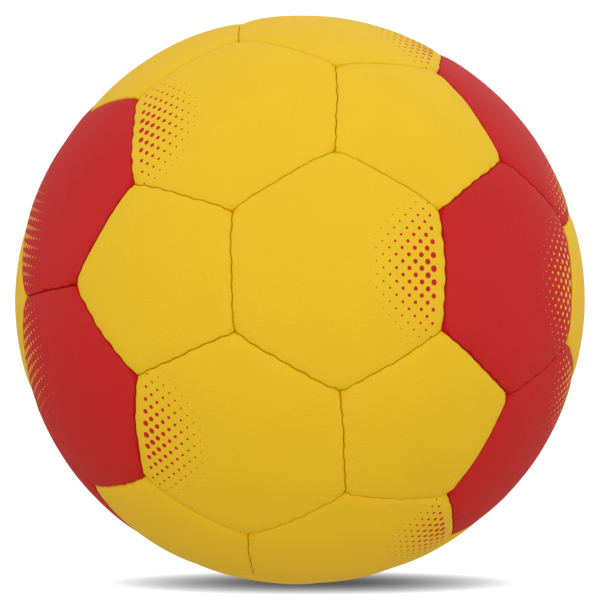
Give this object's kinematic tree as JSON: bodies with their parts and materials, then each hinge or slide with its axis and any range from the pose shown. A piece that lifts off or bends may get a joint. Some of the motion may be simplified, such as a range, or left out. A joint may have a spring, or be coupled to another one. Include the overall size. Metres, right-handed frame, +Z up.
{
  "type": "handball",
  "caption": "Hand-sewn ball of pentagon and hexagon leather panels over foam, cloth lining and an inflatable rubber bladder with a needle valve.",
  "frame": {"origin": "the ball's centre", "axes": "+Z up from the floor that the ball rests on, +X to the right and -Y towards the viewer in the picture's view"},
  "size_m": [0.1878, 0.1876, 0.1872],
  "materials": {
    "yellow_leather": "matte, fine grain",
    "red_leather": "matte, fine grain",
    "foam": "matte",
    "lining_cloth": "woven",
    "waxed_thread": "waxed",
    "bladder_rubber": "smooth",
    "patch_rubber": "matte",
    "valve_rubber": "satin",
    "insert_rubber": "satin"
  },
  "bodies": {
    "root": {"end_pentagon_right": "yellow_leather", "end_pentagon_left": "yellow_leather", "cap_hexagon_right_1": "red_leather", "cap_hexagon_right_2": "red_leather", "cap_hexagon_right_3": "red_leather", "cap_hexagon_right_4": "red_leather", "cap_hexagon_right_5": "red_leather", "cap_hexagon_left_1": "red_leather", "cap_hexagon_left_2": "red_leather", "cap_hexagon_left_3": "red_leather", "cap_hexagon_left_4": "red_leather", "cap_hexagon_left_5": "red_leather", "ring_pentagon_right_1": "yellow_leather", "ring_pentagon_right_2": "yellow_leather", "ring_pentagon_right_3": "yellow_leather", "ring_pentagon_right_4": "yellow_leather", "ring_pentagon_right_5": "yellow_leather", "ring_pentagon_left_1": "yellow_leather", "ring_pentagon_left_2": "yellow_leather", "ring_pentagon_left_3": "yellow_leather", "ring_pentagon_left_4": "yellow_leather", "ring_pentagon_left_5": "yellow_leather", "mid_hexagon_right_1": "yellow_leather", "mid_hexagon_right_2": "yellow_leather", "mid_hexagon_right_3": "yellow_leather", "mid_hexagon_right_4": "yellow_leather", "mid_hexagon_right_5": "yellow_leather", "mid_hexagon_left_1": "yellow_leather", "mid_hexagon_left_2": "yellow_leather", "mid_hexagon_left_3": "yellow_leather", "mid_hexagon_left_4": "yellow_leather", "mid_hexagon_left_5": "yellow_leather", "foam_pentagons": "foam", "foam_hexagons": "foam", "lining_pentagons": "lining_cloth", "lining_hexagons": "lining_cloth", "thread_pentagons": "waxed_thread", "thread_hexagons": "waxed_thread", "bladder": "bladder_rubber", "valve_patch": "patch_rubber", "valve_body": "valve_rubber", "valve_insert": "insert_rubber"}
  },
  "joints": []
}
